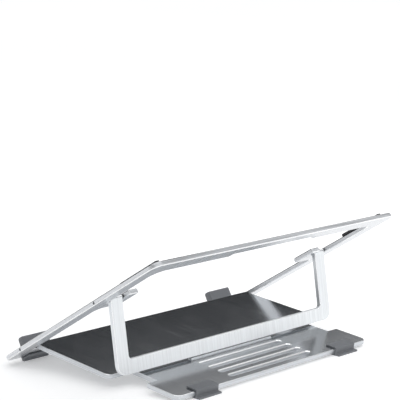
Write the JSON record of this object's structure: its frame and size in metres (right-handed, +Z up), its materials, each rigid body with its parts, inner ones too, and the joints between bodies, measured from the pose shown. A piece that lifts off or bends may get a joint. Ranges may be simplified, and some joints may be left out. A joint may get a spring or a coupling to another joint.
{
  "type": "laptop stand",
  "caption": "Folding laptop stand of brushed aluminium sheet: an open tray ring hinged to a slotted base plate, held up by a U-shaped prop, with grey grip clips.",
  "frame": {"origin": "on the desk, under the middle of the bounding box of the open stand", "axes": "+Z up, +X to the user's right, +Y away from the user, towards the raised rear edge of the tray"},
  "size_m": [0.348, 0.2262, 0.1396],
  "materials": {
    "aluminium": "brushed along its depth, satin",
    "clip": "matt grey",
    "pad": "matt",
    "pin": "ground",
    "washer": "plain"
  },
  "bodies": {
    "base": {"base_plate": "aluminium", "rear_clip_left": "clip", "rear_clip_right": "clip"},
    "tray": {"tray_frame": "aluminium", "front_clip_left": "clip", "rear_pad_left": "pad", "base_pin_left": "pin", "prop_pin_left": "pin", "base_washer_left": "washer", "prop_outer_washer_left": "washer", "prop_inner_washer_left": "washer", "front_clip_right": "clip", "rear_pad_right": "pad", "base_pin_right": "pin", "prop_pin_right": "pin", "base_washer_right": "washer", "prop_outer_washer_right": "washer", "prop_inner_washer_right": "washer"},
    "prop": {"prop_frame": "aluminium"}
  },
  "joints": [
    {"name": "tray_hinge", "type": "hinge", "parent": "base", "child": "tray", "pos_m": [0, -0.08153, 0.0217], "axis": [1, 0, 0], "range_deg": [0, 74]},
    {"name": "prop_fold", "type": "hinge", "parent": "tray", "child": "prop", "pos_m": [0, 0.02994, 0.08858], "axis": [1, 0, 0], "range_deg": [0, 112.29]}
  ]
}
